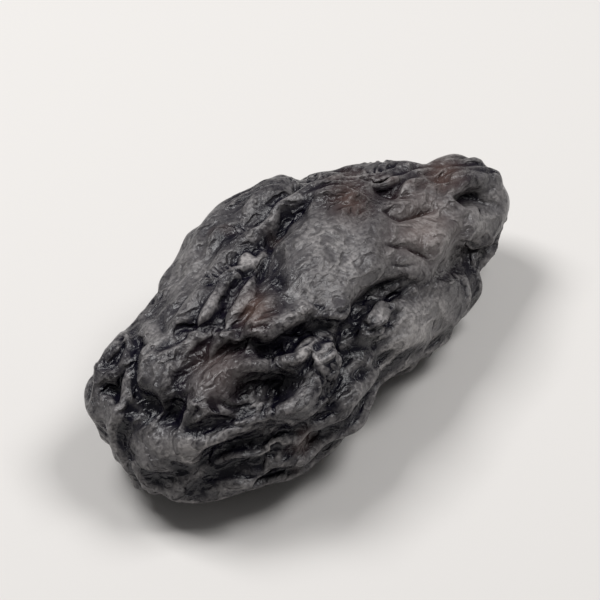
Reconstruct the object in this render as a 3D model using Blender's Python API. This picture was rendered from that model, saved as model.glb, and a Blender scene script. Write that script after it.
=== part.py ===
"""A large dried plum (prune) with its stone in, lying on its broad side on a small flat spot.

The fruit is one solid. Its long axis runs along X with the stem end at +X, its width along Y and its
thickness along Z. A plump body is shaped from a few stations along its length, and the skin then gets
swells, long folds, deep creases and the stem's pit, all raised or sunk by formula along the skin's normal.
"""

import math

import bmesh
import bpy
from mathutils import Vector, noise

MM = 0.001

# Overall size, as the finished fruit measures
LENGTH = 52.0 * MM
WIDTH = 27.0 * MM
HEIGHT = 19.5 * MM

# The body is built a little larger than these and then fitted to the overall size
BODY_HALF_LENGTH = 25.5 * MM
BODY_HALF_WIDTH = 13.0 * MM
BODY_RISE = 10.5 * MM
BODY_DROP = 8.5 * MM

# How full the body is at each share of its half length, from the blunt end to the stem end
FULLNESS = (
    (-1.0, 1.25),
    (-0.85, 1.14),
    (-0.65, 1.0),
    (-0.3, 0.97),
    (0.1, 0.95),
    (0.4, 0.85),
    (0.65, 0.73),
    (0.8, 0.68),
    (1.0, 0.85),
)
# How far the middle line strays sideways, along Y, at the same kind of stations
SWAY = (
    (-1.0, 0.3 * MM),
    (-0.6, -1.6 * MM),
    (0.05, 1.5 * MM),
    (0.45, 0.2 * MM),
    (0.8, 0.4 * MM),
    (1.0, -0.4 * MM),
)
# How far it rises and dips along Z
ARCH = (
    (-1.0, -1.2 * MM),
    (-0.4, 0.4 * MM),
    (0.2, 0.0),
    (0.7, -0.8 * MM),
    (1.0, -0.6 * MM),
)
SQUARENESS = 0.86
END_BLUNTNESS = 2.3

# Cells along X, Y and Z of the box that the skin's mesh starts from
SKIN_CELLS = (46, 27, 24)
# How far each point then moves to the middle of its neighbours, which rounds off the creases' edges
SMOOTHING = 0.5
# Sets which way the folds wander, so that every build grows the same fruit
SKIN_SEED = 5

# Broad swells and hollows where the flesh has dried unevenly
SWELL_SPAN = 12.0 * MM
SWELL_HEIGHT = 1.5 * MM
# Long folds: rounded ribs with narrow valleys between them
FOLD_LENGTH = 15.0 * MM
FOLD_PITCH = 5.2 * MM
FOLD_HEIGHT = 1.6 * MM
# Narrower ribs that run from end to end and wander, fork and fade in patches
RIB_COUNT = 18
RIB_HEIGHT = 1.8 * MM
RIB_WANDER = 8.0
RIB_WANDER_SPAN = 9.0 * MM
RIB_PATCH_SPAN = 6.0 * MM
# The ribs run out between these distances from the long axis, where the ends have no room for them
RIB_ROOM = (3.5 * MM, 8.0 * MM)
# Short cross puckers on top of the folds
PUCKER_LENGTH = 5.5 * MM
PUCKER_PITCH = 2.7 * MM
PUCKER_HEIGHT = 0.8 * MM
# How far the folds wander from straight lines, as a share of their pitch, and over what span
WANDER = 0.55
WANDER_SPAN = 8.0 * MM
# Folds fade over this share of the length towards each tip, where the skin has no room for them
TIP_FADE = 0.05

# The folds and puckers are this much lower on the broad face, where placed creases and pads shape the skin
FACE_CALM = 0.3
# How far the placed creases waver, in millimetres, and over what span
RIPPLE = 0.5
RIPPLE_SPAN = 3.0 * MM

# The broad face that shows is turned this far from level, towards the front (-Y)
FACE_TILT = math.radians(34.0)

# Deep creases of that face: their course as (X, distance across the face), their depth and half width
CREASES = (
    (((-5.6, -6.6), (-4.4, -4.2), (-1.2, -2.4), (1.8, -2.6), (4.6, -4.8), (8.0, -8.2)), 2.5, 0.9),
    (((-5.4, -6.0), (-8.1, -7.8), (-11.0, -9.6)), 1.2, 1.2),
    (((-13.8, -0.2), (-11.9, -1.4), (-9.7, -1.5), (-7.7, -1.8), (-5.8, -4.2)), 2.0, 0.9),
    (((-20.4, 1.0), (-18.6, 2.1), (-16.6, 2.0), (-14.3, 1.4), (-13.2, -0.2)), 1.3, 0.8),
    (((-21.8, -6.0), (-19.8, -6.2), (-16.9, -7.4), (-13.0, -9.6), (-10.8, -10.4)), 1.6, 0.9),
    (((-21.8, 3.8), (-22.6, 1.6), (-22.8, -0.4)), 1.8, 0.9),
    (((-20.4, 8.6), (-22.2, 6.4), (-24.4, 4.4)), 1.4, 0.9),
    (((-25.4, 1.8), (-24.8, -1.2), (-23.6, -4.4)), 1.2, 0.8),
    (((2.6, 9.2), (-1.1, 8.2), (-4.3, 6.2), (-6.3, 3.8), (-7.0, 1.4)), 1.3, 1.1),
    (((7.2, 3.8), (8.6, 1.6), (10.4, 0.6), (13.0, -0.2)), 1.0, 0.8),
    (((8.6, 6.4), (9.7, 4.6), (11.6, 3.2)), 1.1, 0.8),
    (((4.8, 0.2), (6.3, -1.5), (7.6, -3.0)), 0.6, 0.8),
    (((16.4, -6.6), (14.4, -5.6), (12.3, -5.1), (10.0, -5.1)), 2.2, 1.1),
    (((0.0, 10.6), (-3.8, 9.5), (-7.2, 8.0)), 1.2, 0.9),
    (((-17.2, 6.4), (-15.7, 4.6), (-13.7, 3.6), (-11.2, 4.6)), 0.9, 0.8),
)
# Pads of skin left standing between the creases, and dents: centre as (X, distance across the face),
# half length, half width, turn in degrees and height, which is below zero in a dent
PADS = (
    ((-0.4, 3.0), 5.4, 3.4, 12.0, 1.3),
    ((3.9, -8.0), 4.4, 2.4, 14.0, 1.4),
    ((-0.8, -5.0), 1.2, 1.0, 0.0, 1.2),
    ((-17.7, -0.8), 3.2, 2.2, -18.0, 0.8),
    ((-21.2, 3.6), 1.7, 1.5, 0.0, 0.9),
    ((-22.6, -2.6), 3.2, 1.8, -10.0, 0.9),
    ((-9.0, 0.4), 3.2, 1.0, 4.0, 0.7),
    ((6.4, 6.8), 4.0, 1.2, -34.0, 0.8),
    ((-15.1, -4.0), 3.0, 1.5, -30.0, -1.6),
    ((-22.0, 7.4), 2.0, 1.2, 20.0, 0.8),
    ((19.4, 0.2), 3.0, 2.4, 0.0, 0.7),
)
# The pit that the stem came out of, as (X, distance across the face)
PIT_CENTRE = (21.0, -1.6)
PIT_RADIUS = 1.5 * MM
PIT_DEPTH = 2.2 * MM

# How much of the underside its own weight has pressed flat, measured up from its lowest point
REST_PRESS = 1.6 * MM

SKIN_COLOUR = (0.022, 0.017, 0.017, 1.0)
SKIN_ROUGHNESS = 0.48


def clear_scene():
    """Removes whatever the startup file holds."""
    for thing in list(bpy.data.objects):
        bpy.data.objects.remove(thing, do_unlink=True)


def smooth_step(low, high, value):
    """0 below low, 1 above high, and an even curve between."""
    share = min(1.0, max(0.0, (value - low) / (high - low)))
    return share * share * (3.0 - 2.0 * share)


def along(stations, place):
    """The value at a place along a list of (place, value) stations, eased from one to the next."""
    for (start, first), (end, second) in zip(stations, stations[1:]):
        if place <= end:
            return first + (second - first) * smooth_step(start, end, place)
    return stations[-1][1]


def rounded(value, power):
    """A signed power, which squares off a circle's sides."""
    return math.copysign(abs(value) ** power, value)


def body_point(direction):
    """The plump body's point in this direction from its centre."""
    share = direction.x
    ring = max(0.0, 1.0 - abs(share) ** END_BLUNTNESS) ** 0.5
    around = math.atan2(direction.z, direction.y)
    reach = ring * along(FULLNESS, share)
    rise = BODY_RISE if direction.z > 0.0 else BODY_DROP
    return Vector((
        BODY_HALF_LENGTH * share,
        BODY_HALF_WIDTH * reach * rounded(math.cos(around), SQUARENESS) + along(SWAY, share),
        rise * reach * rounded(math.sin(around), SQUARENESS) + along(ARCH, share),
    ))


def swell(point):
    """Broad unevenness, from -1 to 1."""
    return noise.noise(point / SWELL_SPAN + Vector((3.1, 7.7, 1.9)))


def ribs(point, length, pitch, shift):
    """Rounded ribs along X, from 0 in a valley to about 1 on a rib, wandering and running into each other."""
    wander = noise.noise_vector(point / WANDER_SPAN + shift) * WANDER
    place = Vector((point.x / length, point.y / pitch, point.z / pitch)) + wander + shift
    return min(1.0, 2.4 * abs(noise.noise(place)) ** 0.75)


def long_ribs(point):
    """Ribs from one end of the fruit to the other: about -0.5 between them and 0.5 on top of one."""
    bend = noise.noise(point / RIB_WANDER_SPAN + Vector((8.3, 2.9, 6.1)))
    phase = RIB_COUNT * math.atan2(point.z, point.y) + RIB_WANDER * bend
    strength = 0.8 + 0.9 * noise.noise(point / RIB_PATCH_SPAN + Vector((1.7, 4.2, 0.6)))
    strength = max(0.1, strength) * smooth_step(*RIB_ROOM, math.hypot(point.y, point.z))
    return strength * ((0.5 + 0.5 * math.cos(phase)) ** 0.7 - 0.5)


def distance_to_line(x, y, line):
    """How far a point is from a line of points, and at what share of the line its nearest point is."""
    nearest = (math.inf, 0.0)
    for i, ((x0, y0), (x1, y1)) in enumerate(zip(line, line[1:])):
        run_x, run_y = x1 - x0, y1 - y0
        share = ((x - x0) * run_x + (y - y0) * run_y) / (run_x**2 + run_y**2)
        share = min(1.0, max(0.0, share))
        gap = math.hypot(x - x0 - share * run_x, y - y0 - share * run_y)
        nearest = min(nearest, (gap, (i + share) / (len(line) - 1)))
    return nearest


def face_place(point):
    """Where a point lies on the broad face that shows: X and the distance across the face, in millimetres."""
    across = point.y * math.cos(FACE_TILT) + point.z * math.sin(FACE_TILT)
    return point.x / MM, across / MM


def creases(x, across):
    """The depth of the face's creases and the height of their lips, in millimetres."""
    height = 0.0
    for line, depth, half_width in CREASES:
        gap, place = distance_to_line(x, across, line)
        taper = math.sin(math.pi * (0.1 + 0.8 * place)) ** 0.6
        valley = math.exp(-((gap / half_width) ** 1.4))
        lip = math.exp(-(((gap - 2.3 * half_width) / half_width) ** 2))
        height += taper * depth * (0.22 * lip - valley)
    return height


def pads(x, across):
    """The height of the face's pads and the depth of its dents, in millimetres."""
    height = 0.0
    for (centre_x, centre_across), half_length, half_width, degrees, rise in PADS:
        turn = math.radians(degrees)
        run, offset = x - centre_x, across - centre_across
        long_way = (run * math.cos(turn) + offset * math.sin(turn)) / half_length
        short_way = (offset * math.cos(turn) - run * math.sin(turn)) / half_width
        height += rise * math.exp(-((long_way**2 + short_way**2) ** 1.5))
    return height


def pit(x, across):
    """The depth of the stem's pit, in metres."""
    gap = math.hypot(x - PIT_CENTRE[0], across - PIT_CENTRE[1]) * MM
    return PIT_DEPTH * math.exp(-((gap / PIT_RADIUS) ** 2))


def skin_height(point, normal):
    """How far the skin stands out from the body at a point, in metres."""
    tips = smooth_step(0.0, TIP_FADE, 1.0 - abs(point.x) / BODY_HALF_LENGTH)
    facing = normal.z * math.cos(FACE_TILT) - normal.y * math.sin(FACE_TILT)
    face = smooth_step(0.0, 0.35, facing)
    fold = ribs(point, FOLD_LENGTH, FOLD_PITCH, Vector((5.3, 1.1, 8.2))) - 0.6
    pucker = ribs(point, PUCKER_LENGTH, PUCKER_PITCH, Vector((2.7, 9.4, 4.1))) - 0.5
    height = SWELL_HEIGHT * swell(point)
    height += tips * FOLD_HEIGHT * fold * (1.0 - FACE_CALM * face)
    height += tips * (PUCKER_HEIGHT * pucker + RIB_HEIGHT * long_ribs(point)) * (1.0 - FACE_CALM * face)
    ripple = noise.noise_vector(point / RIPPLE_SPAN) * RIPPLE
    x, across = face_place(point)
    placed = creases(x + ripple.x, across + ripple.y) + pads(x, across)
    return height + face * (placed * MM - pit(x, across))


def shape_skin(mesh):
    """Moves the ball's points to the body, and then out or in along the body's normal."""
    for vert in mesh.verts:
        vert.co = body_point(vert.co.normalized())
    mesh.normal_update()
    heights = [skin_height(vert.co, vert.normal) for vert in mesh.verts]
    normals = [vert.normal.copy() for vert in mesh.verts]
    for vert, normal, height in zip(mesh.verts, normals, heights):
        vert.co += normal * height
    every_way = {"use_axis_x": True, "use_axis_y": True, "use_axis_z": True}
    bmesh.ops.smooth_vert(mesh, verts=mesh.verts, factor=SMOOTHING, **every_way)


def fit_to_size(mesh):
    """Scales the fruit to its overall size, centred over the origin and with its underside at Z = 0."""
    size = (LENGTH, WIDTH, HEIGHT)
    for axis in range(3):
        low = min(vert.co[axis] for vert in mesh.verts)
        high = max(vert.co[axis] for vert in mesh.verts)
        base = low if axis == 2 else (low + high) / 2.0
        for vert in mesh.verts:
            vert.co[axis] = (vert.co[axis] - base) * size[axis] / (high - low)


def flatten_rest(mesh):
    """Presses the ribs of the underside flat on the surface that the fruit lies on."""
    for vert in mesh.verts:
        vert.co.z = max(0.0, vert.co.z - REST_PRESS)


def ball(mesh):
    """A box cut into even cells and swelled to a ball of radius 1."""
    bmesh.ops.create_cube(mesh, size=2.0)
    for axis, cells in enumerate(SKIN_CELLS):
        edges = [edge for edge in mesh.edges if edge.verts[0].co[axis] * edge.verts[1].co[axis] < 0.0]
        bmesh.ops.subdivide_edges(mesh, edges=edges, cuts=cells - 1, use_grid_fill=True)
    for vert in mesh.verts:
        vert.co = Vector(math.tan(value * math.pi / 4.0) for value in vert.co).normalized()


def skin_material():
    """Nearly black, dull skin."""
    material = bpy.data.materials.new("prune_skin")
    material.use_nodes = True
    shader = material.node_tree.nodes["Principled BSDF"]
    shader.inputs["Base Color"].default_value = SKIN_COLOUR
    shader.inputs["Roughness"].default_value = SKIN_ROUGHNESS
    shader.inputs["Metallic"].default_value = 0.0
    return material


def make_prune(collection):
    """The fruit: one closed, wrinkled solid."""
    noise.seed_set(SKIN_SEED)
    mesh = bmesh.new()
    ball(mesh)
    shape_skin(mesh)
    fit_to_size(mesh)
    flatten_rest(mesh)
    fit_to_size(mesh)
    bmesh.ops.recalc_face_normals(mesh, faces=mesh.faces[:])
    data = bpy.data.meshes.new("prune")
    mesh.to_mesh(data)
    mesh.free()
    data.shade_smooth()
    data.materials.append(skin_material())
    prune = bpy.data.objects.new("prune", data)
    collection.objects.link(prune)
    return prune


def main():
    clear_scene()
    collection = bpy.data.collections.new("prune")
    bpy.context.scene.collection.children.link(collection)
    make_prune(collection)


if __name__ == "__main__":
    main()
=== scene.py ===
"""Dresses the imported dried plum: one prune that lies on its broad side on a pale floor.

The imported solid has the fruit's outline, its long folds and its deep creases. Here its surface is cut finer
and grown: a skin that has become too large for its shrunken flesh buckles into folds, first the wide ones
that run from end to end, then the fine ones between them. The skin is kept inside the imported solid's box.

The skin's shape is worked out in millimetres. The stage, and what is written with MM, is in metres.
"""

import math

import bmesh
import bpy
import numpy as np
from bpy.props import FloatProperty, FloatVectorProperty, PointerProperty
from bpy.types import Operator, Panel, PropertyGroup
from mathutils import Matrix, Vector, noise
from mathutils.bvhtree import BVHTree


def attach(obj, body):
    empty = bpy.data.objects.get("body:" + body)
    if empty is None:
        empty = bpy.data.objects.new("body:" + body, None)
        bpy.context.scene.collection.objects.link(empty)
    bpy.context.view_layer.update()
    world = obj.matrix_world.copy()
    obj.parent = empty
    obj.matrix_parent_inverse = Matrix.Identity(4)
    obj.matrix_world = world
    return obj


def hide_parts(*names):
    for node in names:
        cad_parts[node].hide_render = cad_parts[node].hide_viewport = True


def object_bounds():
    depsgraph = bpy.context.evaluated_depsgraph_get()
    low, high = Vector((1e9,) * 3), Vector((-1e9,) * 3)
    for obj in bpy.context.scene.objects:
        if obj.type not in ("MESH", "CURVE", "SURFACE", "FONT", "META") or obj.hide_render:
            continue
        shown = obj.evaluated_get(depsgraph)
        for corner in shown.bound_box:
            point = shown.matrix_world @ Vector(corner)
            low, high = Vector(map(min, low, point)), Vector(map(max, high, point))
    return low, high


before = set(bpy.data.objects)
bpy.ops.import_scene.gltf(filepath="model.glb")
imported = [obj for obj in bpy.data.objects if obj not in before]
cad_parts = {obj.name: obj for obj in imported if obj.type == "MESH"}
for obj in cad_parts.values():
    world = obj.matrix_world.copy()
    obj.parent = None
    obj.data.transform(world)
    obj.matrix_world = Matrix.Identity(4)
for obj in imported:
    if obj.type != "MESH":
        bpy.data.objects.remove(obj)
CAD_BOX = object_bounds()

bl_info = {
    "name": "Dried Plum",
    "version": (1, 0, 0),
    "blender": (4, 5, 0),
    "location": "View3D > Sidebar > Dried Plum",
    "description": "Grows wrinkled, bloom-dusted skin on the packed solid of a dried plum",
    "category": "Object",
}

MM = 0.001
# Picks the noise that turns the folds and lets the marks wander
SKIN_SEED = 3
# Keeps a division from being by zero, in doubles and in the growing skin's single floats
TINY = 1e-9
TINY_SPAN = 1e-6

# The face that shows

# The ways along and across the broad face, which looks up, to the front (-Y) and to the blunt end (-X)
FACE_ALONG = (0.865, -0.279, 0.418)
FACE_ACROSS = (0.0, 0.832, 0.555)
# A point belongs to the face by how straight it looks out of it, as a cosine, and by how far it lies that
# way from the fruit's middle: where each starts to count, and where it counts in full
FACE_LOOK = (-0.3, 0.1)
FACE_REACH = (-6.0, -1.0)

# Marks on the face. A place there is (along, across) from the middle of the fruit, as seen from straight in
# front of it. A mark is its course, its height, which is below zero in a crease, and its half width. The
# wide ones are there before the skin grows, at MARK_SHARE of their height, and the narrow ones come last.
WIDE_MARKS = (
    # Hooked crease under the plateau, round the bump
    (((0.9, -6.8), (1.8, -5.0), (3.4, -3.8), (5.1, -3.4), (7.1, -3.6), (8.7, -4.4), (9.8, -6.3),
     (10.9, -8.2)), -1.5, 1.1),
    # Its run down the front
    (((0.6, -6.6), (-1.5, -7.6), (-3.5, -8.7), (-5.5, -9.7)), -0.6, 1.2),
    # Crease from the hook to the left
    (((-7.0, -0.9), (-5.9, -2.2), (-4.5, -2.6), (-2.6, -2.3), (-1.0, -2.5), (0.6, -3.8),
     (1.5, -4.8)), -1.0, 1.0),
    # Rounded ridge above it
    (((-5.4, -0.4), (-3.5, -0.8), (-1.4, -0.8), (-0.4, -1.7), (1.4, -2.7), (3.1, -2.7)), 0.5, 0.9),
    # Valley at the front
    (((-18.0, -7.5), (-15.6, -7.2), (-13.1, -7.8), (-10.7, -8.6), (-8.6, -9.7),
     (-7.5, -11.2)), -1.4, 1.2),
    # Ridge above that valley
    (((-15.3, -4.5), (-13.0, -6.0), (-10.5, -7.2), (-8.3, -9.3)), 0.5, 0.8),
    # Ridge below it
    (((-18.4, -9.2), (-15.2, -10.1), (-12.5, -11.0), (-10.3, -12.0)), 0.5, 0.8),
    # Dark band left of the plateau
    (((5.7, 7.4), (3.2, 7.2), (0.8, 6.5), (-1.4, 5.2), (-3.0, 3.8)), -2.2, 1.0),
    # Crease above the facet
    (((-13.9, 1.3), (-12.6, 1.4), (-10.7, 1.3), (-8.1, 0.5)), -0.7, 0.8),
    # Hollow near the blunt end
    (((-18.2, 2.9), (-18.2, 1.2), (-17.4, -0.5), (-15.7, -1.1)), -1.5, 1.6),
    # Loop's hollow
    (((-19.1, 6.8), (-18.7, 6.0), (-17.5, 6.4)), -0.7, 0.8),
    # Fold of the blunt end
    (((-20.7, 5.2), (-20.3, 3.6), (-20.1, 2.1), (-20.3, 0.2)), -0.6, 0.8),
    # Crease of the neck
    (((19.4, -9.4), (17.9, -7.8), (16.4, -6.8), (15.3, -6.2)), -3.6, 1.3),
    # Front rim of the lobe
    (((-1.7, -9.6), (0.5, -9.5), (2.7, -10.1), (5.5, -10.3), (8.8, -9.8), (11.4, -9.2)), 0.4, 0.9),
)
NARROW_MARKS = (
    # Crease below the rim by the stem
    (((17.4, 2.2), (18.5, 1.3), (19.7, 0.7)), -0.6, 0.5),
    # Short crease by the stem
    (((12.4, 4.8), (13.0, 3.6), (14.0, 2.7)), -1.0, 0.6),
    # Ridge above it
    (((12.6, 5.4), (14.4, 3.8), (16.6, 2.2)), 0.5, 0.6),
    # Long thin crease by the stem
    (((11.8, 2.0), (12.5, 0.7), (13.7, 0.1), (15.6, -0.5)), -1.0, 0.55),
    # Pore lines
    (((11.0, -2.1), (11.6, -3.0), (11.9, -4.3)), -0.7, 0.45),
    (((9.5, -0.4), (10.2, -1.2), (10.6, -1.8)), -0.5, 0.4),
    (((8.8, -2.5), (9.6, -3.2), (10.5, -3.6)), -0.45, 0.4),
    # Thin crease under the plateau
    (((0.0, -0.0), (0.6, -1.5), (2.2, -1.9)), -0.35, 0.5),
    # Thin bright ridge
    (((-9.8, -1.2), (-8.1, -1.8), (-6.5, -3.0), (-4.3, -4.1), (-2.8, -4.1), (-1.5, -3.8)), 0.55, 0.5),
    # Its fork
    (((-2.8, -4.1), (-2.8, -5.5), (-3.0, -7.1)), 0.5, 0.6),
    # Knotted ridge
    (((-12.6, 4.2), (-11.1, 3.9), (-10.6, 2.9), (-9.1, 2.5), (-8.1, 1.3)), 0.4, 0.5),
    # Crease above the knots
    (((-12.1, 5.3), (-11.0, 4.5), (-9.9, 3.8), (-8.6, 3.2), (-7.8, 2.1)), -0.45, 0.5),
    # Loop of the blunt end, outer
    (((-20.2, 7.3), (-20.3, 6.1), (-19.2, 4.9), (-17.7, 5.0), (-16.5, 6.3), (-16.5, 7.5),
     (-17.7, 7.2), (-18.8, 6.9)), 0.5, 0.5),
    # Ridge past the loop
    (((-17.4, 4.8), (-18.6, 3.6), (-19.3, 2.4), (-19.2, 0.8)), 0.4, 0.5),
    # Ridge across the blunt end
    (((-21.6, 4.6), (-21.2, 3.0), (-21.4, 1.5)), 0.4, 0.55),
    # Lower fine ridge
    (((-17.3, -9.5), (-14.8, -11.2), (-12.0, -12.6)), 0.6, 0.55),
    # Crease between the low ridges
    (((-15.8, -9.7), (-13.6, -11.3), (-11.1, -12.5)), -0.5, 0.5),
    # Crease by the ramp's foot
    (((-20.1, -4.4), (-19.8, -5.7), (-19.3, -7.0)), -0.5, 0.6),
    # Lower crease of the facet
    (((-13.5, -3.3), (-12.7, -4.7), (-11.4, -5.6)), -0.35, 0.6),
    # Crease behind the bump
    (((3.0, -6.0), (3.8, -6.9), (5.0, -7.2), (6.2, -6.2), (6.4, -5.1)), -0.45, 0.5),
    # Crease left of the lobe
    (((6.8, -6.2), (5.7, -7.5), (3.7, -8.1)), -0.3, 0.6),
)
# Pads and dents: centre, half length, half width, turn in degrees, height, and how calm the skin stays
# there, from 0, where it folds freely, to 1, where it stays smooth
PADS = (
    # Plateau
    ((4.3, 1.4), 6.3, 5.2, -10.0, 0.9, 1.0),
    # Stem side
    ((12.6, -1.6), 6.2, 4.4, -10.0, 0.35, 1.0),
    # Knob
    ((19.7, -3.6), 3.6, 3.2, 0.0, 0.5, 1.0),
    # Pit of the stem and the rim above it
    ((19.4, -1.7), 1.5, 1.0, -37.0, -2.2, 0.8),
    ((20.4, -0.1), 2.0, 0.7, -37.0, 0.5, 0.8),
    # Lobe
    ((8.2, -8.4), 4.6, 2.5, -14.0, 0.7, 1.0),
    # Bump
    ((4.9, -5.6), 1.3, 0.9, 0.0, 0.45, 1.0),
    # Facet
    ((-11.3, -0.9), 3.0, 1.6, -17.0, 0.15, 1.0),
    # Oval hollow
    ((-8.3, -4.2), 3.3, 1.6, -37.0, -0.9, 0.3),
    # Glint
    ((-9.7, -4.9), 1.0, 0.8, -37.0, 0.8, 0.3),
    # Ramp
    ((-19.9, -2.7), 2.8, 1.9, -47.0, 0.4, 1.0),
    # Ramp's bump
    ((-17.9, -4.6), 1.1, 1.6, -7.0, 0.5, 1.0),
    # Round bump
    ((-16.0, 3.1), 1.3, 1.2, 0.0, 0.5, 0.9),
    # Round bump above it
    ((-14.0, 6.3), 1.1, 1.1, 0.0, 0.4, 0.9),
    # Blunt knob
    ((-22.1, 3.1), 1.2, 1.2, 0.0, 0.4, 0.9),
    # Upper flank, with finer folds than the rest
    ((-6.0, 9.2), 8.5, 3.2, 15.0, 0.0, 0.6),
    # Slope between the dark band and the plateau
    ((-1.6, 3.0), 1.6, 1.4, 0.0, 0.0, 0.6),
    # Spot
    ((-2.6, 6.3), 0.9, 0.8, 0.0, 0.5, 0.8),
    # Top outline by the stem
    ((14.0, 7.2), 1.8, 1.3, 0.0, 0.0, 0.8),
    # Folds beside the spot
    ((-5.2, 7.2), 1.6, 1.2, 0.0, 0.0, 0.5),
)

MARK_SHARE = 0.5
# How wide and how far a mark's course wanders, and the level in the noise that this is read from
WANDER_SPAN = 1.6
WANDER = 0.22
WANDER_LEVEL = 3.0
# How much of a half wave is left out at each end of a mark, how blunt its ends are and how steep its sides
MARK_END = 0.1
END_POWER = 0.6
SIDE_POWER = 1.5

# How the skin grows

# The solid's points nearer than this are one
WELD = 0.001 * MM
# A point of a regular grid has this many neighbours, and no point here has more than MOST_NEIGHBOURS
REGULAR = 4
MOST_NEIGHBOURS = 6
# How much of a value stays when it is evened out with its neighbours once
BLUR_KEEP = 0.4
# How the skin buckles. First its growth across and along the folds, as a share of each length, then three
# noises and how wide each is: how far the folds turn from the fruit's length, how much the growth differs
# from place to place, and the unevenness that the folds start from. Then how stiff the skin is, how firmly
# the flesh holds it, how much of that hold is left where it has lifted off, how much it drags sideways, how
# hard each length pulls, how much speed is kept from step to step, and the number of steps.
WIDE_FOLDS = {
    "across": 0.25, "along": 0.04, "turn": 0.8, "turn_span": 9.0, "patch": 0.9, "patch_span": 7.0,
    "start": 0.2, "start_span": 2.0, "stiff": 0.08, "hold": 0.02, "lift": 0.4, "drag": 0.01,
    "pull": 0.5, "keep": 0.7, "steps": 200,
}
FINE_FOLDS = {
    "across": 0.5, "along": 0.06, "turn": 2.0, "turn_span": 5.0, "patch": 1.4, "patch_span": 4.0,
    "start": 0.25, "start_span": 1.2, "stiff": 0.2, "hold": 0.06, "lift": 0.7, "drag": 0.02,
    "pull": 0.5, "keep": 0.6, "steps": 90,
}
# The least and the most growth at a place, against the usual one, and where its noise is read
PATCH_RANGE = (0.1, 1.6)
PATCH_SHIFT = (9.0, 2.0, 5.0)
START_SHIFT = (0.0, 0.0, 0.0)
# The share of the steps in which the skin still grows, before it only settles
GROWING = 0.6
# How much a neighbour across a cell counts against one along an edge, which keeps the folds off the grid
DIAGONAL_PULL = 0.5
DIAGONAL_BEND = 0.25
# Fine folds keep off the calmest skin alone: between which calm values that starts, and how far it goes
FINE_CALM_FROM = (0.4, 1.0)
FINE_CALM = 0.5
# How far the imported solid's own ribs are taken down, where the skin is calm and on the sides away from the
# face, and how often the surface is evened out for it
EVEN_SHARE = 0.8
EVEN_HIDDEN = 0.5
EVEN_TIMES = 45
# How often the normals are evened out that the marks and pads are raised along
NORMAL_TIMES = 12
# How far the finished skin is evened out to take the grid's own marks off it, and how far a point may then
# stand out of the skin round it, evened out PEAK_TIMES
LAST_EVEN = 0.25
PEAK_LIMIT = 0.2
PEAK_TIMES = 6
# Round an irregular point of the grid: how strongly and how often the skin is evened out
ODD_SPREAD = 8.0
ODD_TIMES = 4
# Where two folds press through each other: rounds of evening out at most, how often in each, and how wide
PART_ROUNDS = 20
PART_TIMES = 3
PART_SPREAD = 3.0
# Calm patches on the sides away from the face: how wide they are, between which noise values they come in,
# how calm they are, and where their noise is read
CALM_SPAN = 6.5
CALM_NOISE = (0.12, 0.45)
CALM_PATCH = 0.8
CALM_SHIFT = (4.0, 1.0, 7.0)
# Between which heights the skin goes from pressed smooth on the floor to free
PRESSED = (0.3, 1.6)
# The share of all points, in percent, that are pressed flat on the floor
FLOOR_PERCENT = 1.2
# The stem end is moved this far along Y and Z, over these distances from the middle along X. It only moves
# up over these heights, so that what is near the floor stays there
STEM_MOVE = (-1.3, 1.4)
STEM_REACH = (11.0, 22.0)
STEM_RISE = (0.0, 6.0)

# The finish

# How far each point stands out of the skin round it: the layer's name, how often the skin is evened out for
# it, and the height that counts as full
RELIEF = (
    ("near_relief", 6, 0.10),
    ("wide_relief", 60, 0.45),
)
# Thin skin over amber flesh: place on the face, radius and strength
WARM_SPOTS = (
    ((9.3, 5.2), 2.2, 0.4),
    ((-4.9, 1.9), 1.6, 0.55),
    ((13.5, -1.0), 3.5, 0.35),
    ((-11.0, -0.5), 2.8, 0.25),
    ((18.5, 1.6), 2.0, 0.4),
)
# Where the skin is made lighter with more bloom, above 0, or darker with less, below 0: place, radius and how
# much. Some of these are painted highlights and painted shade, as said at each
BLOOM_AND_PAINTED_LIGHT_SPOTS = (
    # Left and right sides of the plateau
    ((1.0, 2.6), 2.0, -0.45),
    ((8.6, 0.4), 2.2, -0.35),
    # Rim above the pit, darkened as painted shade against its gloss
    ((20.4, -0.1), 1.3, -0.9),
    # Ridge above the plateau
    ((9.3, 5.2), 1.8, -0.8),
    # Spot beside the dark band, a painted highlight, and the slope across from it, made darker
    ((-2.6, 6.3), 0.9, 1.5),
    ((-1.6, 3.0), 1.5, -1.0),
    # Upper flank: its two ends made darker, and its middle and the skin below it lightened as painted light
    ((-2.5, 9.4), 1.6, -0.9),
    ((-8.0, 8.8), 2.5, 0.3),
    ((-8.0, 4.5), 1.8, 0.6),
    ((-12.0, 7.8), 1.8, -0.6),
    # Hooked crease's left end, painted shade down in the crease, and the run down from it, made darker
    ((1.9, -5.2), 1.2, -0.9),
    ((-2.5, -8.2), 1.5, -0.5),
    # Front rim of the lobe, lightened as painted light
    ((4.5, -9.4), 2.6, 2.0),
    # Rounded ridge, and the fork of the thin bright one
    ((-1.4, -0.8), 1.6, 0.6),
    ((-3.0, -4.6), 1.2, 1.3),
    # Facet, made darker, and a painted glint below it
    ((-11.3, -0.9), 2.2, -0.7),
    ((-9.7, -4.9), 0.8, 2.0),
    # Valley at the front
    ((-11.5, -8.2), 1.6, 1.6),
    # Ramp's bump, and the ridge next to it
    ((-17.9, -4.6), 1.3, 0.9),
    ((-16.0, -6.0), 1.3, 0.7),
    # Ramp
    ((-19.9, -2.7), 2.0, -0.25),
    # Hollow of the blunt end, painted shade, and its loop and knob, made darker
    ((-17.4, 0.4), 1.4, -0.8),
    ((-18.7, 6.2), 1.6, -0.8),
    ((-22.1, 3.1), 1.2, -0.5),
)
# The bloom's real grains are far finer than in its settings, where they are as coarse as they need to show.
# The wrinkles there, too fine for the mesh, are bent by a noise this wide, this far, and are drawn out along
# the fruit by counting this share of each length there
BEND_SPAN = 2.4 * MM
BEND = 2.5 * MM
WRINKLE_DRAW = 0.5
# How much of the wrinkles is left on smooth skin
SMOOTH_BUMP = 0.8
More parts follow.
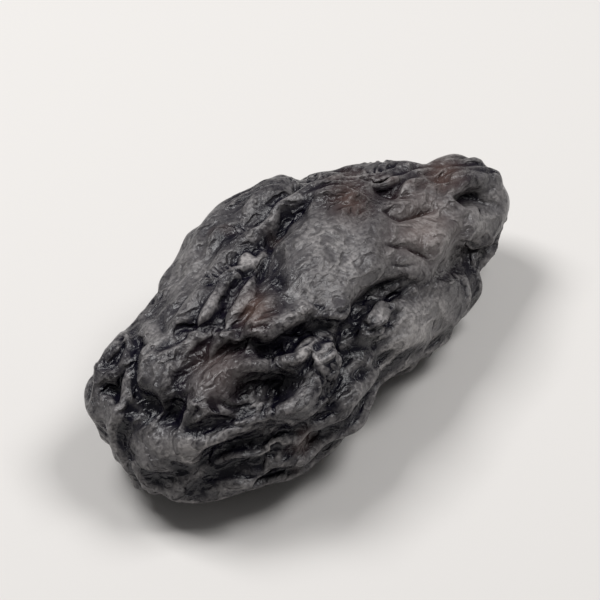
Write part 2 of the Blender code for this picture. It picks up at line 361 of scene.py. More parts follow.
# Patches of thicker bloom, and of skin that is thin, are about this wide
PATCH_SPAN = 5.0 * MM
BLUSH_SPAN = 7.0 * MM
# Between which values each pattern goes from nothing to full: near relief as a crest and out of the creases,
# wide relief, the wrinkles from groove to top, the noise of grain and patches, and the noise of thin skin
# CREST, CLEAR and HIGH also keep the bloom off the creases and low skin, and CREST lays the crease colour
# there: painted shade
CREST = (0.35, 0.7)
CLEAR = (0.15, 0.5)
HIGH = (0.1, 0.6)
GROOVES = (0.2, 0.9)
MOTTLING = (0.35, 0.65)
BLUSH = (0.62, 0.78)
# The least bloom on low skin, between the grains, between the patches and in the grooves. Less bloom on low
# skin and in the grooves paints shade there
LOW_BLOOM = 0.2
GRAIN_BLOOM = 0.2
PATCH_BLOOM = 0.55
GROOVE_BLOOM = 0.3
# How much bloom wrinkled skin has at most, and smooth skin at least
ROUGH_BLOOM = 0.8
EVEN_BLOOM = 0.15
# How far thin skin shows outside its own spots, and how far its colour comes through the bloom
BLUSH_MOST = 0.3
BLOOM_TINT = 0.8
# The bloom that makes the skin as dull as it gets
DULL_BLOOM = 0.6
# Plant wax
SKIN_IOR = 1.45
# Paper fibres are finer than this, and are drawn as coarse as they need to show
FIBRE = 0.6 * MM
FIBRE_HEIGHT = 0.02 * MM
FIBRE_STRENGTH = 0.1
PAPER_ROUGHNESS = 0.85

# The stage

# How far the floor reaches from the middle
FLOOR_REACH = 0.6
# Soft square lights: name, place, side and power in watts
LIGHTS = (
    ("key", (-0.05, 0.20, 0.36), 0.16, 1.2),
    ("front", (0.20, -0.12, 0.45), 0.20, 1.35),
)
# The even light from all round
WORLD_LIGHT = 0.12
# The camera looks at the middle of the fruit, moved by this much, and sees nothing nearer than CAMERA_NEAR
AIM_SHIFT = (-0.5 * MM, 0.5 * MM, -0.4 * MM)
CAMERA_NEAR = 10.0 * MM


def linear(hex_colour):
    """A colour written as sRGB hex, as the linear numbers that Blender works with."""
    parts = [int(hex_colour[i:i + 2], 16) / 255.0 for i in (1, 3, 5)]
    return tuple(c / 12.92 if c <= 0.04045 else ((c + 0.055) / 1.055) ** 2.4 for c in parts)


class PruneSkinShape(PropertyGroup):
    """How the skin has wrinkled."""

    wide_growth: FloatProperty(
        name="Wide folds",
        description="How much of their full growth the wide folds have, from end to end of the fruit",
        default=1.0,
        min=0.0,
        max=1.0,
        subtype="FACTOR",
    )
    fine_growth: FloatProperty(
        name="Fine folds",
        description="How much of their full growth the fine folds between the wide ones have",
        default=1.0,
        min=0.0,
        max=1.0,
        subtype="FACTOR",
    )


class PruneSkinFinish(PropertyGroup):
    """The skin's colours, with the painted shade of its creases, its gloss and the sizes of its finest
    relief.
    """

    # The skin's own dark colour, with a blue tint that is a painted reflection of the sky
    flesh_dark: FloatVectorProperty(
        name="Skin",
        description="Colour of the bare dried skin",
        subtype="COLOR",
        default=linear("#13101b"),
        min=0.0,
        max=1.0,
    )
    bloom: FloatVectorProperty(
        name="Bloom",
        description="Colour of the dusty bloom on the raised parts",
        subtype="COLOR",
        default=linear("#9c9897"),
        min=0.0,
        max=1.0,
    )
    warm: FloatVectorProperty(
        name="Thin skin",
        description="Colour where the skin is thin over amber flesh",
        subtype="COLOR",
        default=linear("#7a6156"),
        min=0.0,
        max=1.0,
    )
    # Painted shade: this crease colour is laid on the low skin in place of the shade down in the creases, and
    # its blue tint is a painted reflection of the sky
    crease: FloatVectorProperty(
        name="Creases",
        description="Colour down in the creases",
        subtype="COLOR",
        default=linear("#0a0816"),
        min=0.0,
        max=1.0,
    )
    bare_roughness: FloatProperty(
        name="Bare roughness",
        description="Roughness of the bare, waxy skin",
        default=0.25,
        min=0.0,
        max=1.0,
        subtype="FACTOR",
    )
    bloom_roughness: FloatProperty(
        name="Bloom roughness",
        description="Roughness where the bloom is thick",
        default=0.38,
        min=0.0,
        max=1.0,
        subtype="FACTOR",
    )
    wrinkle: FloatProperty(
        name="Wrinkles",
        description="How far apart the finest wrinkles are",
        default=1.5 * MM,
        min=0.1 * MM,
        unit="LENGTH",
    )
    wrinkle_height: FloatProperty(
        name="Wrinkle height",
        description="How high the finest wrinkles are",
        default=0.3 * MM,
        min=0.0,
        unit="LENGTH",
    )
    grain: FloatProperty(
        name="Grain",
        description="How wide the bloom's grains are",
        default=0.4 * MM,
        min=0.05 * MM,
        unit="LENGTH",
    )
    grain_height: FloatProperty(
        name="Grain height",
        description="How high the bloom's grains are",
        default=0.085 * MM,
        min=0.0,
        unit="LENGTH",
    )


class PruneStage(PropertyGroup):
    """The floor, the light and the camera."""

    floor_colour: FloatVectorProperty(
        name="Floor",
        description="Colour of the paper that the fruit lies on",
        subtype="COLOR",
        default=linear("#dedbd8"),
        min=0.0,
        max=1.0,
    )
    azimuth: FloatProperty(
        name="Azimuth",
        description="Where the camera stands round the fruit; 0 looks along +Y",
        default=math.radians(-46.3),
        subtype="ANGLE",
    )
    elevation: FloatProperty(
        name="Elevation",
        description="How far the camera stands above the horizon",
        default=math.radians(46.0),
        subtype="ANGLE",
    )
    distance: FloatProperty(
        name="Distance",
        description="How far the camera stands from the fruit's middle",
        default=0.33,
        min=0.1,
        unit="LENGTH",
    )
    focal_length: FloatProperty(
        name="Focal length",
        description="Focal length of the camera's lens",
        default=200.0,
        min=1.0,
        unit="CAMERA",
    )
    light: FloatProperty(
        name="Light",
        description="How strong both soft lights are, where 1 is as they are set",
        default=1.0,
        min=0.0,
        soft_max=2.0,
        subtype="FACTOR",
    )


def solid_in_quads(name):
    """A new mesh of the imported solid's surface, its triangles joined back into the quads of its grid."""
    mesh = bmesh.new()
    mesh.from_mesh(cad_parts[name].data)
    bmesh.ops.remove_doubles(mesh, verts=mesh.verts, dist=WELD)
    bmesh.ops.join_triangles(
        mesh,
        faces=mesh.faces,
        angle_face_threshold=math.pi,
        angle_shape_threshold=math.pi,
        topology_influence=1.0,
    )
    data = bpy.data.meshes.new("dried_skin")
    mesh.to_mesh(data)
    mesh.free()
    return data


def subdivided(data):
    """The same surface with each face cut in four and rounded."""
    carrier = bpy.data.objects.new("carrier", data)
    bpy.context.scene.collection.objects.link(carrier)
    cut = carrier.modifiers.new("cut", "SUBSURF")
    cut.levels = 1
    cut.subdivision_type = "CATMULL_CLARK"
    graph = bpy.context.evaluated_depsgraph_get()
    finer = bpy.data.meshes.new_from_object(carrier.evaluated_get(graph))
    bpy.data.objects.remove(carrier)
    bpy.data.meshes.remove(data)
    return finer


def ranked(first, second, count, slots):
    """A row for each point with its partners out of a list of pairs, filled up with the point itself."""
    order = np.argsort(first, kind="stable")
    first, second = first[order], second[order]
    starts = np.searchsorted(first, np.arange(count))
    place = np.arange(len(first)) - starts[first]
    table = np.tile(np.arange(count)[:, None], (1, slots))
    fits = place < slots
    table[first[fits], place[fits]] = second[fits]
    return table


def neighbours(data):
    """Each point's neighbours along edges, and across the quads from it, as two tables of point numbers."""
    count = len(data.vertices)
    edges = np.empty(len(data.edges) * 2, np.int64)
    data.edges.foreach_get("vertices", edges)
    edges = edges.reshape(-1, 2)
    beside = ranked(edges.T.ravel(), edges[:, ::-1].T.ravel(), count, MOST_NEIGHBOURS)
    quads = quads_of(data)
    across = ranked(quads.T.ravel(), np.roll(quads, 2, axis=1).T.ravel(), count, MOST_NEIGHBOURS)
    return beside, across


def quads_of(data):
    """The numbers of each face's four points."""
    corners = np.empty(len(data.loops), np.int64)
    data.loops.foreach_get("vertex_index", corners)
    return corners.reshape(-1, 4)


def points_of(data):
    """Each point's place in millimetres."""
    places = np.empty(len(data.vertices) * 3)
    data.vertices.foreach_get("co", places)
    return places.reshape(-1, 3) / MM


def normals_of(data):
    """Each point's normal."""
    normals = np.empty(len(data.vertices) * 3, np.float32)
    data.vertex_normals.foreach_get("vector", normals)
    return normals.reshape(-1, 3).astype(float)


def put_points(data, places):
    """Puts each point at its place in millimetres."""
    data.vertices.foreach_set("co", (places * MM).astype(np.float32).ravel())
    data.update()


def noise_at(places, span, shift):
    """Smooth noise from about -1 to 1 at each point, with features about this many millimetres wide."""
    shift = Vector(shift)
    return np.array([noise.noise(Vector(place) / span + shift) for place in places])


def smooth_step(low, high, values):
    """0 below low, 1 above high, and an even curve between."""
    share = np.clip((values - low) / (high - low), 0.0, 1.0)
    return share * share * (3.0 - 2.0 * share)


def blurred(values, beside, times):
    """Values evened out over their neighbours."""
    real = beside != np.arange(len(beside))[:, None]
    weight = real / real.sum(1, keepdims=True)
    weight = weight.reshape(weight.shape + (1,) * (values.ndim - 1))
    for _ in range(times):
        values = BLUR_KEEP * values + (1.0 - BLUR_KEEP) * (values[beside] * weight).sum(1)
    return values


def box_in_mm():
    """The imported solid's lowest and highest corner."""
    low, high = CAD_BOX
    return np.array(low) / MM, np.array(high) / MM


def face_places(data):
    """Each point's place along and across the face, and how much it belongs to the face, from 0 to 1."""
    low, high = box_in_mm()
    places = points_of(data) - (low + high) / 2.0
    towards = np.cross(FACE_ALONG, FACE_ACROSS)
    towards *= np.sign(towards[2])
    least, most = FACE_LOOK
    facing = np.clip((normals_of(data) @ towards - least) / (most - least), 0.0, 1.0)
    facing *= smooth_step(*FACE_REACH, places[:, 1:] @ towards[1:])
    return places @ np.array(FACE_ALONG), places @ np.array(FACE_ACROSS), facing


def nearest_on_line(along, across, line):
    """How far each point is from a line on the face, and where on the line it is nearest, from 0 to 1."""
    gap = np.full(len(along), np.inf)
    place = np.zeros(len(along))
    for i, ((u0, s0), (u1, s1)) in enumerate(zip(line, line[1:])):
        run_u, run_s = u1 - u0, s1 - s0
        share = np.clip(((along - u0) * run_u + (across - s0) * run_s) / (run_u**2 + run_s**2), 0.0, 1.0)
        here = np.hypot(along - u0 - share * run_u, across - s0 - share * run_s)
        closer = here < gap
        gap[closer] = here[closer]
        place[closer] = (i + share[closer]) / (len(line) - 1)
    return gap, place


def marks_height(data, marks):
    """The height of a table of marks at each point."""
    along, across, facing = face_places(data)
    flat = [Vector((u, s, WANDER_LEVEL)) for u, s in zip(along, across)]
    wander = np.array([noise.noise_vector(place / WANDER_SPAN) for place in flat]) * WANDER
    along, across = along + wander[:, 0], across + wander[:, 1]
    height = np.zeros(len(along))
    for line, rise, half_width in marks:
        gap, place = nearest_on_line(along, across, line)
        taper = np.sin(np.pi * (MARK_END + (1.0 - 2.0 * MARK_END) * place)) ** END_POWER
        height += taper * rise * np.exp(-((gap / half_width) ** SIDE_POWER))
    return height * facing


def pads_height(data):
    """The height of the pads and dents at each point, and how calm the skin stays there, from 0 to 1."""
    along, across, facing = face_places(data)
    height = np.zeros(len(along))
    calm = np.zeros(len(along))
    for (u, s), half_length, half_width, degrees, rise, quiet in PADS:
        turn = math.radians(degrees)
        run, offset = along - u, across - s
        long_way = (run * math.cos(turn) + offset * math.sin(turn)) / half_length
        short_way = (offset * math.cos(turn) - run * math.sin(turn)) / half_width
        inside = np.exp(-((long_way**2 + short_way**2) ** 2))
        height += rise * inside
        calm = np.maximum(calm, quiet * inside)
    places = points_of(data)
    patches = smooth_step(*CALM_NOISE, noise_at(places, CALM_SPAN, CALM_SHIFT))
    patches = CALM_PATCH * patches * (1.0 - facing)
    pressed = 1.0 - smooth_step(*PRESSED, places[:, 2])
    return height * facing, np.maximum(np.maximum(calm * facing, patches), pressed)


def move_stem(data):
    """Turns the stem end a little up and towards the front."""
    places = points_of(data)
    share = smooth_step(*STEM_REACH, places[:, 0])
    places[:, 1] += STEM_MOVE[0] * share
    places[:, 2] += STEM_MOVE[1] * share * smooth_step(*STEM_RISE, places[:, 2])
    put_points(data, places)


def even_out(data, calm):
    """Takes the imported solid's own ribs down where the skin is calm, and partly on the hidden sides."""
    places = points_of(data)
    beside, _ = neighbours(data)
    soft = blurred(places, beside, EVEN_TIMES)
    _, _, facing = face_places(data)
    share = np.maximum(EVEN_SHARE * calm, EVEN_HIDDEN * (1.0 - facing))
    put_points(data, places + (soft - places) * share[:, None])


def raise_skin(data, height):
    """Moves each point out of the skin by its height, along the skin's evened out normals."""
    beside, _ = neighbours(data)
    out = blurred(normals_of(data), beside, NORMAL_TIMES)
    out /= np.linalg.norm(out, axis=1, keepdims=True)
    put_points(data, points_of(data) + out * height[:, None])


def fold_ways(flesh, out, folds):
    """Which way the folds run at each point: along the fruit, turned here and there, flat on the skin."""
    ways = np.array([noise.noise_vector(Vector(place) / folds["turn_span"]) for place in flesh])
    ways *= folds["turn"]
    ways += (1.0, 0.0, 0.0)
    ways -= (ways * out).sum(1, keepdims=True) * out
    return ways / (np.linalg.norm(ways, axis=1, keepdims=True) + TINY)


def lengths(flesh, out, table, real, calm, folds, growth):
    """Each length to a neighbour as it is, and as it wants to be once the skin has grown."""
    spans = flesh[table] - flesh[:, None]
    length = np.linalg.norm(spans, axis=2)
    length[~real] = 1.0
    lengthwise = (spans / length[..., None] * fold_ways(flesh, out, folds)[:, None]).sum(2) ** 2
    patches = noise_at(flesh, folds["patch_span"], PATCH_SHIFT)
    amount = np.clip(1.0 + folds["patch"] * patches, *PATCH_RANGE) * (1.0 - calm)
    across = folds["across"] * growth
    wanted = 1.0 + amount[:, None] * (folds["along"] * lengthwise + across * (1.0 - lengthwise))
    return length.astype(np.float32), (length * wanted).astype(np.float32)


def neighbour_shares(real, diagonal):
    """How much each neighbour counts: the first half of a row lies along edges, the rest across cells."""
    count = real.shape[1]
    share = real * np.where(np.arange(count) < count // 2, 1.0, diagonal)
    return (share / share.sum(1, keepdims=True)).astype(np.float32)


def grow(data, calm, folds, growth):
    """Grows the skin and lets it buckle.

    Every length in it wants to be more than it is, more across the folds than along them, and the flesh
    holds the skin back. What is left of the growth has to go out of the surface as folds.
    """
    beside, diagonal = neighbours(data)
    table = np.concatenate((beside, diagonal), axis=1)
    real = table != np.arange(len(table))[:, None]
    flesh, out = points_of(data), normals_of(data)
    length, goal = lengths(flesh, out, table, real, calm, folds, growth)
    pull_share = neighbour_shares(real, DIAGONAL_PULL)
    bend_share = neighbour_shares(real, DIAGONAL_BEND)
    start = noise_at(flesh, folds["start_span"], START_SHIFT) * folds["start"]
    skin = (flesh + out * start[:, None]).astype(np.float32)
    flesh, out = flesh.astype(np.float32), out.astype(np.float32)
    speed = np.zeros_like(skin)
    hold = folds["hold"]
    for step in range(folds["steps"]):
        grown = min(1.0, (step + 1) / (GROWING * folds["steps"]))
        wanted = length * (1.0 - grown) + goal * grown
        reach = skin[table] - skin[:, None]
        span = np.sqrt((reach * reach).sum(2)) + TINY_SPAN
        stretch = (reach * ((1.0 - wanted / span) * pull_share)[..., None]).sum(1)
        moved = skin - flesh
        bend = (moved[table] * bend_share[..., None]).sum(1) - moved
        bend = (bend[table] * bend_share[..., None]).sum(1) - bend
        height = (moved * out).sum(1, keepdims=True)
        slide = moved - height * out
        held = np.where(height > 0.0, hold * folds["lift"], hold) * height
        speed = folds["keep"] * speed + folds["pull"] * stretch - folds["stiff"] * bend
        speed = speed - held * out - folds["drag"] * slide
        skin = skin + speed
    put_points(data, skin.astype(float))


def rest_on_floor(data):
    """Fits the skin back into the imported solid's box, with its underside pressed flat on the floor."""
    low, high = box_in_mm()
    places = points_of(data)
    places[:, 2] = np.maximum(places[:, 2], np.percentile(places[:, 2], FLOOR_PERCENT))
    least, most = places.min(0), places.max(0)
    places = low + (places - least) * (high - low) / (most - least)
    put_points(data, places)


def settle_odd_points(data):
    """Evens the skin out round the points where its grid isn't regular, which would stand out as spikes."""
    beside, _ = neighbours(data)
    count = (beside != np.arange(len(beside))[:, None]).sum(1)
    odd = np.clip(ODD_SPREAD * blurred((count != REGULAR).astype(float), beside, ODD_TIMES), 0.0, 1.0)
    places = points_of(data)
    put_points(data, places + odd[:, None] * (blurred(places, beside, 2 * ODD_TIMES) - places))


def take_down_peaks(data):
    """Evens the skin out a little, and takes down what stands too far out of the skin round it."""
    beside, _ = neighbours(data)
    places = points_of(data)
    places += LAST_EVEN * (blurred(places, beside, 1) - places)
    soft = blurred(places, beside, PEAK_TIMES)
    gap = places - soft
    reach = np.linalg.norm(gap, axis=1)
    put_points(data, soft + gap * np.minimum(1.0, PEAK_LIMIT / np.maximum(reach, TINY))[:, None])


def crossing_points(places, quads):
    """The numbers of the points of all faces that cut through a face they share no point with."""
    tree = BVHTree.FromPolygons(places.tolist(), quads.tolist())
    pairs = np.array(tree.overlap(tree), np.int64).reshape(-1, 2)
    one, other = quads[pairs[:, 0]], quads[pairs[:, 1]]
    apart = ~(one[:, :, None] == other[:, None, :]).any((1, 2))
    return np.unique(np.concatenate((one[apart], other[apart])))


def part_folds(data):
    """Evens the skin out where two folds have pressed through each other, until they only touch."""
    beside, _ = neighbours(data)
    quads = quads_of(data)
    places = points_of(data)
    for _ in range(PART_ROUNDS):
        crossing = crossing_points(places, quads)
        if not len(crossing):
            break
        share = np.zeros(len(places))
        share[crossing] = 1.0
        share = np.clip(PART_SPREAD * blurred(share, beside, PART_TIMES), 0.0, 1.0)
        places += share[:, None] * (blurred(places, beside, PART_TIMES) - places)
    put_points(data, places)


def near_spot(along, across, place, radius):
    """1 at a place on the face, and less the further from it, in the shape of a bell."""
    u, s = place
    return np.exp(-(((along - u) ** 2 + (across - s) ** 2) / radius**2))


def store_layers(data):
    """Keeps for the finish, at each point, the relief, how smooth and how thin the skin is, and its bloom
    share, which carries painted highlights and painted shade as well.
    """
    beside, _ = neighbours(data)
    places = points_of(data)
    out = normals_of(data)
    for name, times, full in RELIEF:
        relief = ((places - blurred(places, beside, times)) * out).sum(1)
        keep_layer(data, name, np.clip(0.5 + 0.5 * relief / full, 0.0, 1.0))
    _, calm = pads_height(data)
    keep_layer(data, "smooth_skin", calm)
    along, across, facing = face_places(data)
    thin = np.zeros(len(places))
    for place, radius, strength in WARM_SPOTS:
        thin = np.maximum(thin, strength * near_spot(along, across, place, radius))
    keep_layer(data, "thin_skin", thin * facing)
    # Bloom spots: more or less bloom, some of it painted highlights and painted shade
    share = np.ones(len(places))
    for place, radius, amount in BLOOM_AND_PAINTED_LIGHT_SPOTS:
        share += facing * amount * near_spot(along, across, place, radius)
    keep_layer(data, "bloom_and_painted_light_share", np.maximum(share, 0.0))


def keep_layer(data, name, values):
    """Stores one number for each point, for the finish to read."""
    layer = data.attributes.new(name, "FLOAT", "POINT")
    layer.data.foreach_set("value", values.astype(np.float32))


def add_node(tree, kind, inputs=None, **settings):
    """Adds a node with its settings, and its inputs as plain values or as sockets to link from."""
    node = tree.nodes.new(kind)
    for name, value in settings.items():
        setattr(node, name, value)
    for socket, value in (inputs or {}).items():
        if isinstance(value, bpy.types.NodeSocket):
            tree.links.new(value, node.inputs[socket])
        else:
            node.inputs[socket].default_value = value
    return node


def fine_wrinkles(tree, where, finish):
    """Wrinkles, 0 in the grooves and 1 on top, drawn out along the fruit and bent by a coarser noise."""
    bend = add_node(tree, "ShaderNodeTexNoise", {"Vector": where, "Scale": 1.0 / BEND_SPAN, "Detail": 2.0})
    bend = add_node(
        tree, "ShaderNodeVectorMath",
        {0: bend.outputs["Color"], 1: (0.5, 0.5, 0.5)},
        operation="SUBTRACT",
    )
    bend = add_node(tree, "ShaderNodeVectorMath", {0: bend.outputs[0], "Scale": BEND}, operation="SCALE")
    bent = add_node(tree, "ShaderNodeVectorMath", {0: where, 1: bend.outputs[0]}, operation="ADD")
    drawn = add_node(
        tree, "ShaderNodeVectorMath",
        {0: bent.outputs[0], 1: (WRINKLE_DRAW, 1.0, 1.0)},
        operation="MULTIPLY",
    )
    ridges = add_node(
        tree, "ShaderNodeTexNoise",
        {
            "Vector": drawn.outputs[0], "Scale": 1.0 / finish.wrinkle,
            "Detail": 2.0, "Offset": 0.9, "Gain": 1.5,
        },
        noise_type="RIDGED_MULTIFRACTAL", normalize=True,
    )
    return add_node(
        tree, "ShaderNodeMapRange",
        {"Value": ridges.outputs[0], "From Min": GROOVES[0], "From Max": GROOVES[1]},
    ).outputs[0]


def bloom_and_painted_light(tree, layers, raised, mottled_and_groove_shade):
    """How much of the skin the bloom hides: it lies on raised skin, and thinly on all smooth skin. It is kept
    out of the creases, the wrinkles' grooves and low skin, which paints shade there, and the spots' share
    adds painted highlights and painted shade in single places.
    """
    high = add_node(
        tree, "ShaderNodeMapRange",
        {"Value": layers["wide_relief"], "From Min": HIGH[0], "From Max": HIGH[1], "To Min": LOW_BLOOM},
    )
    rough = raised
    for part in (high.outputs[0], mottled_and_groove_shade, ROUGH_BLOOM):
        rough = add_node(tree, "ShaderNodeMath", {0: rough, 1: part}, operation="MULTIPLY").outputs[0]
    clear = add_node(
        tree, "ShaderNodeMapRange",
        {"Value": layers["near_relief"], "From Min": CLEAR[0], "From Max": CLEAR[1]},
    )
    even = add_node(tree, "ShaderNodeMapRange", {"Value": mottled_and_groove_shade, "To Min": EVEN_BLOOM}).outputs[0]
    for part in (layers["smooth_skin"], clear.outputs[0]):
        even = add_node(tree, "ShaderNodeMath", {0: even, 1: part}, operation="MULTIPLY").outputs[0]
    dust_and_painted_light = add_node(tree, "ShaderNodeMath", {0: rough, 1: even}, operation="MAXIMUM")
    return add_node(
        tree, "ShaderNodeMath",
        {0: dust_and_painted_light.outputs[0], 1: layers["bloom_and_painted_light_share"]},
        operation="MULTIPLY", use_clamp=True,
    ).outputs[0]


def thin_skin(tree, layers, where, patchy):
    """How far the amber flesh shows: in its own spots, and faintly in a few patches."""
    blush = add_node(
        tree, "ShaderNodeTexNoise",
        {"Vector": where, "W": 4.0, "Scale": 1.0 / BLUSH_SPAN, "Detail": 2.0},
        noise_dimensions="4D",
    )
    faint = add_node(
        tree, "ShaderNodeMapRange",
        {"Value": blush.outputs["Fac"], "From Min": BLUSH[0], "From Max": BLUSH[1], "To Max": BLUSH_MOST},
    )
    spots = add_node(tree, "ShaderNodeMath", {0: layers["thin_skin"], 1: patchy}, operation="MULTIPLY")
    return add_node(
        tree, "ShaderNodeMath",
        {0: faint.outputs[0], 1: spots.outputs[0]},
        operation="MAXIMUM",
    ).outputs[0]


def skin_colour(tree, finish, raised, thin, dust_and_painted_light):
    """Painted shade, black with a blue painted reflection, on the low skin of the creases, dark on bare skin,
    brownish where it is thin, and grey under the bloom.
    """
    # Painted shade: low skin takes the crease colour in place of the shade in the creases
    bare = add_node(
        tree, "ShaderNodeMix",
        {"Factor": raised, "A": (*finish.crease, 1.0), "B": (*finish.flesh_dark, 1.0)},
        data_type="RGBA",
    )
    blushed = add_node(
        tree, "ShaderNodeMix",
        {"Factor": thin, "A": bare.outputs["Result"], "B": (*finish.warm, 1.0)},
        data_type="RGBA",
    )
    shown = add_node(tree, "ShaderNodeMath", {0: thin, 1: BLOOM_TINT}, operation="MULTIPLY")
    tinted = add_node(
        tree, "ShaderNodeMix",
        {"Factor": shown.outputs[0], "A": (*finish.bloom, 1.0), "B": (*finish.warm, 1.0)},
        data_type="RGBA",
    )
    return add_node(
        tree, "ShaderNodeMix",
        {"Factor": dust_and_painted_light, "A": blushed.outputs["Result"], "B": tinted.outputs["Result"]},
        data_type="RGBA",
    ).outputs["Result"]


def dried_plum_skin(finish):
    """Skin of a plum that was dried whole.

    It is nearly black, with a waxy half gloss that goes dull where dusty bloom lies on the raised parts. It
    is finely wrinkled, black with painted shade in the creases, and amber flesh shows faintly where it is
    thin.
    """
    material = bpy.data.materials.new("plum_skin_dried_whole")
    material.use_nodes = True
    tree = material.node_tree
    shader = tree.nodes["Principled BSDF"]
    where = add_node(tree, "ShaderNodeTexCoord").outputs["Object"]
    layers = {
        name: add_node(tree, "ShaderNodeAttribute", attribute_name=name).outputs["Fac"]
        for name in ("near_relief", "wide_relief", "smooth_skin", "thin_skin", "bloom_and_painted_light_share")
    }
    wrinkles = fine_wrinkles(tree, where, finish)
    grain = add_node(
        tree, "ShaderNodeTexNoise",
        {"Vector": where, "Scale": 1.0 / finish.grain, "Detail": 4.0, "Roughness": 0.6},
    )
    patches = add_node(
        tree, "ShaderNodeTexNoise",
        {"Vector": where, "Scale": 1.0 / PATCH_SPAN, "Detail": 3.0},
    )
    # Raised skin takes the bloom and the bare skin colour; low skin gets the crease colour, as painted shade
    raised = add_node(
        tree, "ShaderNodeMapRange",
        {"Value": layers["near_relief"], "From Min": CREST[0], "From Max": CREST[1]},
    ).outputs[0]
    low, high = MOTTLING
    broken, patchy = (
        add_node(
            tree, "ShaderNodeMapRange",
            {"Value": pattern.outputs["Fac"], "From Min": low, "From Max": high, "To Min": least},
        ).outputs[0]
        for pattern, least in ((grain, GRAIN_BLOOM), (patches, PATCH_BLOOM))
    )
    # Less bloom down in the fine wrinkles' grooves, which paints shade into them; the grain and patches vary
    # it at random
    mottled_and_groove_shade = add_node(tree, "ShaderNodeMapRange", {"Value": wrinkles, "To Min": GROOVE_BLOOM}).outputs[0]
    for part in (broken, patchy):
        mottled_and_groove_shade = add_node(tree, "ShaderNodeMath", {0: mottled_and_groove_shade, 1: part}, operation="MULTIPLY").outputs[0]
    dust_and_painted_light = bloom_and_painted_light(tree, layers, raised, mottled_and_groove_shade)
    thin = thin_skin(tree, layers, where, patchy)
    gloss = add_node(
        tree, "ShaderNodeMapRange",
        {
            "Value": dust_and_painted_light, "From Max": DULL_BLOOM,
            "To Min": finish.bare_roughness, "To Max": finish.bloom_roughness,
        },
    )
    taut = add_node(
        tree, "ShaderNodeMapRange",
        {"Value": layers["smooth_skin"], "To Min": 1.0, "To Max": SMOOTH_BUMP},
    )
    relief = add_node(
        tree, "ShaderNodeBump",
        {"Height": wrinkles, "Strength": taut.outputs[0], "Distance": finish.wrinkle_height},
    )
    relief = add_node(
        tree, "ShaderNodeBump",
        {
            "Height": grain.outputs["Fac"], "Strength": 1.0,
            "Distance": finish.grain_height, "Normal": relief.outputs[0],
        },
    )
    tree.links.new(skin_colour(tree, finish, raised, thin, dust_and_painted_light), shader.inputs["Base Color"])
    tree.links.new(gloss.outputs[0], shader.inputs["Roughness"])
    tree.links.new(relief.outputs[0], shader.inputs["Normal"])
    shader.inputs["IOR"].default_value = SKIN_IOR
    return material


def matt_paper(colour):
    """Paper, uncoated: pale, dull all over, and with just enough tooth to catch the light evenly."""
    material = bpy.data.materials.new("paper_matt")
    material.use_nodes = True
    tree = material.node_tree
    shader = tree.nodes["Principled BSDF"]
    where = add_node(tree, "ShaderNodeTexCoord").outputs["Object"]
    fibre = add_node(tree, "ShaderNodeTexNoise", {"Vector": where, "Scale": 1.0 / FIBRE, "Detail": 3.0})
    bump = add_node(
        tree, "ShaderNodeBump",
        {"Height": fibre.outputs["Fac"], "Strength": FIBRE_STRENGTH, "Distance": FIBRE_HEIGHT},
    )
    tree.links.new(bump.outputs["Normal"], shader.inputs["Normal"])
    shader.inputs["Base Color"].default_value = (*colour, 1.0)
    shader.inputs["Roughness"].default_value = PAPER_ROUGHNESS
    return material


class PruneGrowSkin(Operator):
    """Grow the dried plum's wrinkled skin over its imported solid"""

    bl_idname = "prune.grow_skin"
    bl_label = "Grow the skin"

    def execute(self, context):
        shape = context.scene.prune_skin_shape
        noise.seed_set(SKIN_SEED)
        data = subdivided(solid_in_quads("prune"))
        move_stem(data)
        pads, calm = pads_height(data)
        even_out(data, calm)
        raise_skin(data, pads + MARK_SHARE * marks_height(data, WIDE_MARKS))
        grow(data, calm, WIDE_FOLDS, shape.wide_growth)
        settle_odd_points(data)
        data = subdivided(data)
        _, calm = pads_height(data)
        grow(data, smooth_step(*FINE_CALM_FROM, calm) * FINE_CALM, FINE_FOLDS, shape.fine_growth)
        settle_odd_points(data)
        take_down_peaks(data)
        raise_skin(data, marks_height(data, NARROW_MARKS))
        part_folds(data)
        rest_on_floor(data)
        store_layers(data)
        data.shade_smooth()
        data.materials.clear()
        data.materials.append(dried_plum_skin(context.scene.prune_skin_finish))
        skin = bpy.data.objects.new("prune_skin", data)
        context.scene.collection.objects.link(skin)
        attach(skin, "root")
        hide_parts("prune")
        return {"FINISHED"}


def aim(thing, place, target):
    """Puts a light or camera at a place and turns it to look at a target."""
    thing.location = place
    thing.rotation_euler = (Vector(target) - Vector(place)).to_track_quat("-Z", "Y").to_euler()


def lay_floor(scene, stage):
    """A flat sheet of paper at the height that the fruit rests on."""
    mesh = bmesh.new()
    bmesh.ops.create_grid(mesh, x_segments=1, y_segments=1, size=FLOOR_REACH)
    data = bpy.data.meshes.new("floor")
    mesh.to_mesh(data)
    mesh.free()
    data.materials.append(matt_paper(stage.floor_colour))
    floor = bpy.data.objects.new("floor", data)
    scene.collection.objects.link(floor)


def light_stage(scene, stage, centre):
    """An even light from all round, and the soft lights, which are turned to the centre."""
    world = bpy.data.worlds.new("studio")
    scene.world = world
    world.use_nodes = True
    background = world.node_tree.nodes["Background"]
    background.inputs["Color"].default_value = (*linear("#ffffff"), 1.0)
    background.inputs["Strength"].default_value = WORLD_LIGHT
    for name, place, side, power in LIGHTS:
        lamp = bpy.data.lights.new(name, "AREA")
        lamp.energy = power * stage.light
        lamp.size = side
        light = bpy.data.objects.new(name, lamp)
        scene.collection.objects.link(light)
        aim(light, place, centre)


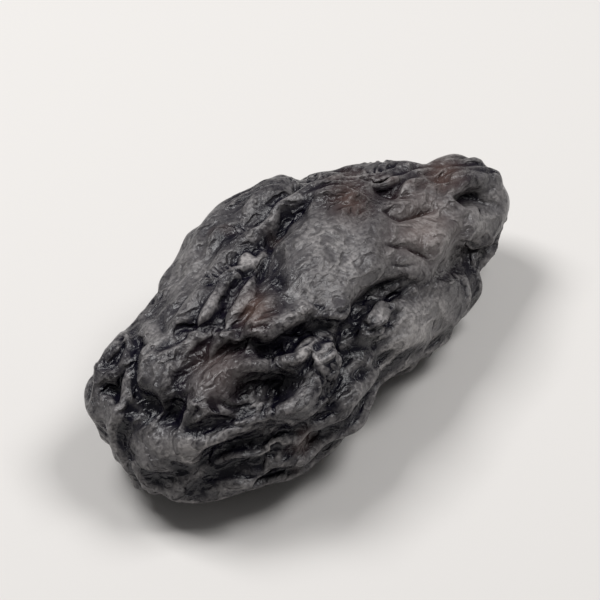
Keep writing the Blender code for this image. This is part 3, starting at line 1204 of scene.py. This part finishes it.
def set_camera(scene, stage, centre):
    """The scene's camera, which looks at the centre from the stage's angles and distance."""
    lens = bpy.data.cameras.new("camera")
    lens.lens = stage.focal_length
    lens.clip_start = CAMERA_NEAR
    camera = bpy.data.objects.new("camera", lens)
    scene.collection.objects.link(camera)
    scene.camera = camera
    back = Vector((
        math.sin(stage.azimuth) * math.cos(stage.elevation),
        -math.cos(stage.azimuth) * math.cos(stage.elevation),
        math.sin(stage.elevation),
    ))
    aim(camera, centre + back * stage.distance, centre)


class PruneSetStage(Operator):
    """Lay the floor and set up the soft light and the camera"""

    bl_idname = "prune.set_stage"
    bl_label = "Set the stage"

    def execute(self, context):
        scene = context.scene
        stage = scene.prune_stage
        scene.view_settings.view_transform = "Standard"
        centre = (Vector(CAD_BOX[0]) + Vector(CAD_BOX[1])) / 2.0 + Vector(AIM_SHIFT)
        lay_floor(scene, stage)
        light_stage(scene, stage, centre)
        set_camera(scene, stage, centre)
        return {"FINISHED"}


class PrunePanel(Panel):
    """The dried plum's settings and steps."""

    bl_idname = "VIEW3D_PT_prune"
    bl_label = "Dried Plum"
    bl_space_type = "VIEW_3D"
    bl_region_type = "UI"
    bl_category = "Dried Plum"

    def draw(self, context):
        layout = self.layout
        for group, operator in (
            (context.scene.prune_skin_shape, None),
            (context.scene.prune_skin_finish, PruneGrowSkin.bl_idname),
            (context.scene.prune_stage, PruneSetStage.bl_idname),
        ):
            for name in group.__annotations__:
                layout.prop(group, name)
            if operator:
                layout.operator(operator)


GROUPS = (
    ("prune_skin_shape", PruneSkinShape),
    ("prune_skin_finish", PruneSkinFinish),
    ("prune_stage", PruneStage),
)
CLASSES = (PruneSkinShape, PruneSkinFinish, PruneStage, PruneGrowSkin, PruneSetStage, PrunePanel)


def register():
    """Registers the settings, the steps and the panel."""
    for one in CLASSES:
        bpy.utils.register_class(one)
    for name, group in GROUPS:
        setattr(bpy.types.Scene, name, PointerProperty(type=group))


def unregister():
    """Takes all of it out again."""
    for name, _ in GROUPS:
        delattr(bpy.types.Scene, name)
    for one in reversed(CLASSES):
        bpy.utils.unregister_class(one)


def main():
    """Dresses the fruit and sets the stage."""
    register()
    bpy.ops.prune.grow_skin()
    bpy.ops.prune.set_stage()


if __name__ == "__main__":
    main()
